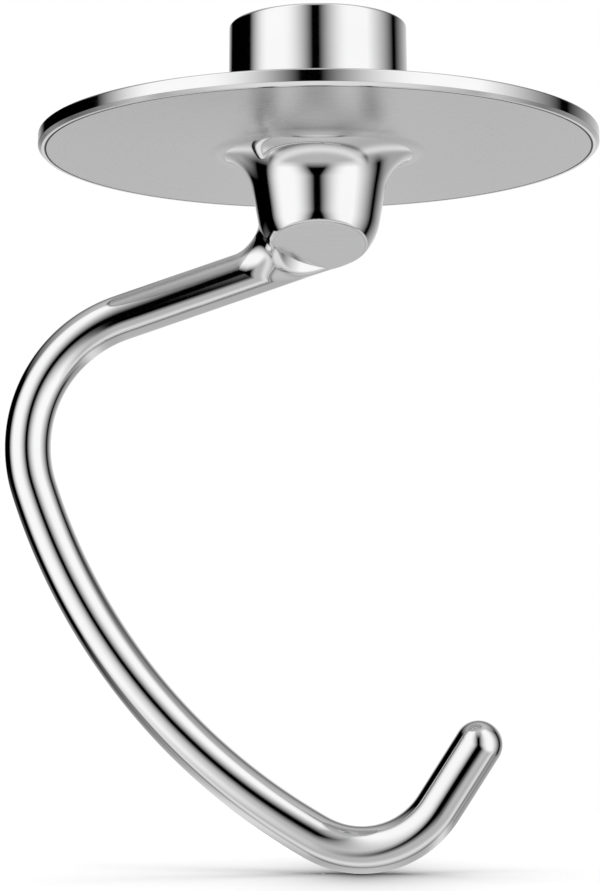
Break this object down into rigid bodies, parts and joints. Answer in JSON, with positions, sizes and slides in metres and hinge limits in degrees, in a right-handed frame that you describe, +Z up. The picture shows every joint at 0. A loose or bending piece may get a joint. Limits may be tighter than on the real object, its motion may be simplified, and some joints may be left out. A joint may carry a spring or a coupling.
{
  "type": "stand mixer dough hook",
  "caption": "C-shaped dough hook in polished stainless steel, with a round dough shield and a bayonet socket that locks onto a stand mixer's drive shaft.",
  "frame": {"origin": "centre of the shaft socket's mouth, on the collar's top face", "axes": "+Z up along the socket, out of its mouth; the hook hangs below and bulges towards -X, with its tip towards +X; -Y is the side that the foot facet faces"},
  "size_m": [0.1013, 0.095, 0.1431],
  "materials": {
    "polished_stainless": "mirror polished, with a satin turned underside on the shield and a satin ground foot facet"
  },
  "bodies": {
    "root": {"dough_hook": "polished_stainless"}
  },
  "joints": []
}
